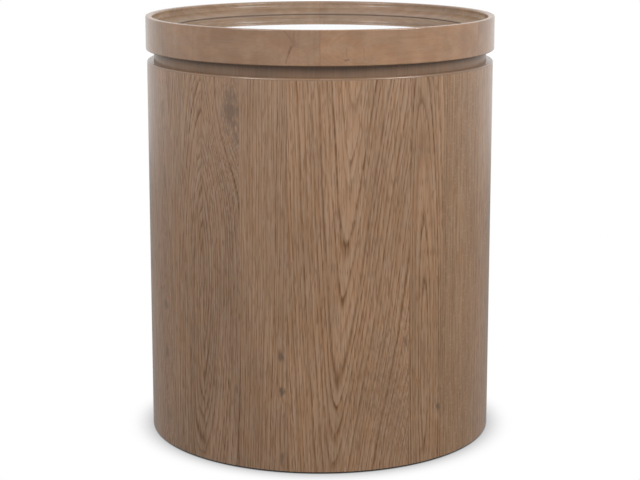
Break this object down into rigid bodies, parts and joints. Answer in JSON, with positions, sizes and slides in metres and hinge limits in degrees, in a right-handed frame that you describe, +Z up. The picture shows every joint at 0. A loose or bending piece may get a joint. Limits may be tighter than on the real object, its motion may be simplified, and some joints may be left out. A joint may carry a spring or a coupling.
{
  "type": "drum side table",
  "caption": "Round drum side table in oak veneer with a recessed neck and a dished oak tray top that holds an inset mirror, standing on low levelling feet.",
  "frame": {"origin": "on the floor under the centre of the drum", "axes": "+Z up along the drum's axis, front towards -Y, +X to the right"},
  "size_m": [0.505, 0.505, 0.61],
  "materials": {
    "solid_oak": "satin lacquer",
    "oak_veneer": "satin lacquer",
    "plywood": "raw",
    "beech": "raw",
    "mirror_glass": "polished",
    "mastic": "matte",
    "zinc_steel": "zinc plated",
    "nylon": "moulded"
  },
  "bodies": {
    "table": {"rim_segment_1": "solid_oak", "rim_segment_2": "solid_oak", "rim_segment_3": "solid_oak", "rim_segment_4": "solid_oak", "rim_segment_5": "solid_oak", "rim_segment_6": "solid_oak", "shoulder_lipping": "solid_oak", "base_lipping": "solid_oak", "veneer_leaf_01": "oak_veneer", "veneer_leaf_02": "oak_veneer", "veneer_leaf_03": "oak_veneer", "veneer_leaf_04": "oak_veneer", "veneer_leaf_05": "oak_veneer", "veneer_leaf_06": "oak_veneer", "veneer_leaf_07": "oak_veneer", "veneer_leaf_08": "oak_veneer", "veneer_leaf_09": "oak_veneer", "veneer_leaf_10": "oak_veneer", "veneer_leaf_11": "oak_veneer", "veneer_leaf_12": "oak_veneer", "neck_band": "oak_veneer", "shell_panel_1": "plywood", "shell_panel_2": "plywood", "shell_panel_3": "plywood", "shell_panel_4": "plywood", "top_former": "plywood", "mid_former": "plywood", "bottom_former": "plywood", "tray_panel": "plywood", "neck_ring": "plywood", "base_panel": "plywood", "batten_1": "beech", "batten_2": "beech", "batten_3": "beech", "batten_4": "beech", "rim_tenons": "beech", "shell_splines": "beech", "mirror_pane": "mirror_glass", "mirror_pads": "mastic", "top_screws": "zinc_steel", "base_screws": "zinc_steel", "tee_nuts": "zinc_steel"},
    "leveler_foot_1": {"leveler_foot_1": "nylon"},
    "leveler_stem_1": {"leveler_stem_1": "zinc_steel"},
    "leveler_foot_2": {"leveler_foot_2": "nylon"},
    "leveler_stem_2": {"leveler_stem_2": "zinc_steel"},
    "leveler_foot_3": {"leveler_foot_3": "nylon"},
    "leveler_stem_3": {"leveler_stem_3": "zinc_steel"},
    "leveler_foot_4": {"leveler_foot_4": "nylon"},
    "leveler_stem_4": {"leveler_stem_4": "zinc_steel"}
  },
  "joints": [
    {"name": "foot_1_slide", "type": "slide", "parent": "table", "child": "leveler_foot_1", "axis": [0, 0, -1], "range_m": [0, 0.01]},
    {"name": "stem_1_turn", "type": "hinge", "parent": "leveler_foot_1", "child": "leveler_stem_1", "pos_m": [0.13407, 0.13407, 0.0098], "axis": [0, 0, -1], "continuous": true},
    {"name": "foot_2_slide", "type": "slide", "parent": "table", "child": "leveler_foot_2", "axis": [0, 0, -1], "range_m": [0, 0.01]},
    {"name": "stem_2_turn", "type": "hinge", "parent": "leveler_foot_2", "child": "leveler_stem_2", "pos_m": [-0.13407, 0.13407, 0.0098], "axis": [0, 0, -1], "continuous": true},
    {"name": "foot_3_slide", "type": "slide", "parent": "table", "child": "leveler_foot_3", "axis": [0, 0, -1], "range_m": [0, 0.01]},
    {"name": "stem_3_turn", "type": "hinge", "parent": "leveler_foot_3", "child": "leveler_stem_3", "pos_m": [-0.13407, -0.13407, 0.0098], "axis": [0, 0, -1], "continuous": true},
    {"name": "foot_4_slide", "type": "slide", "parent": "table", "child": "leveler_foot_4", "axis": [0, 0, -1], "range_m": [0, 0.01]},
    {"name": "stem_4_turn", "type": "hinge", "parent": "leveler_foot_4", "child": "leveler_stem_4", "pos_m": [0.13407, -0.13407, 0.0098], "axis": [0, 0, -1], "continuous": true}
  ],
  "couplings": [
    {"joint": "stem_1_turn", "follows": "foot_1_slide", "rad_per_m": 5026.5},
    {"joint": "stem_2_turn", "follows": "foot_2_slide", "rad_per_m": 5026.5},
    {"joint": "stem_3_turn", "follows": "foot_3_slide", "rad_per_m": 5026.5},
    {"joint": "stem_4_turn", "follows": "foot_4_slide", "rad_per_m": 5026.5}
  ]
}
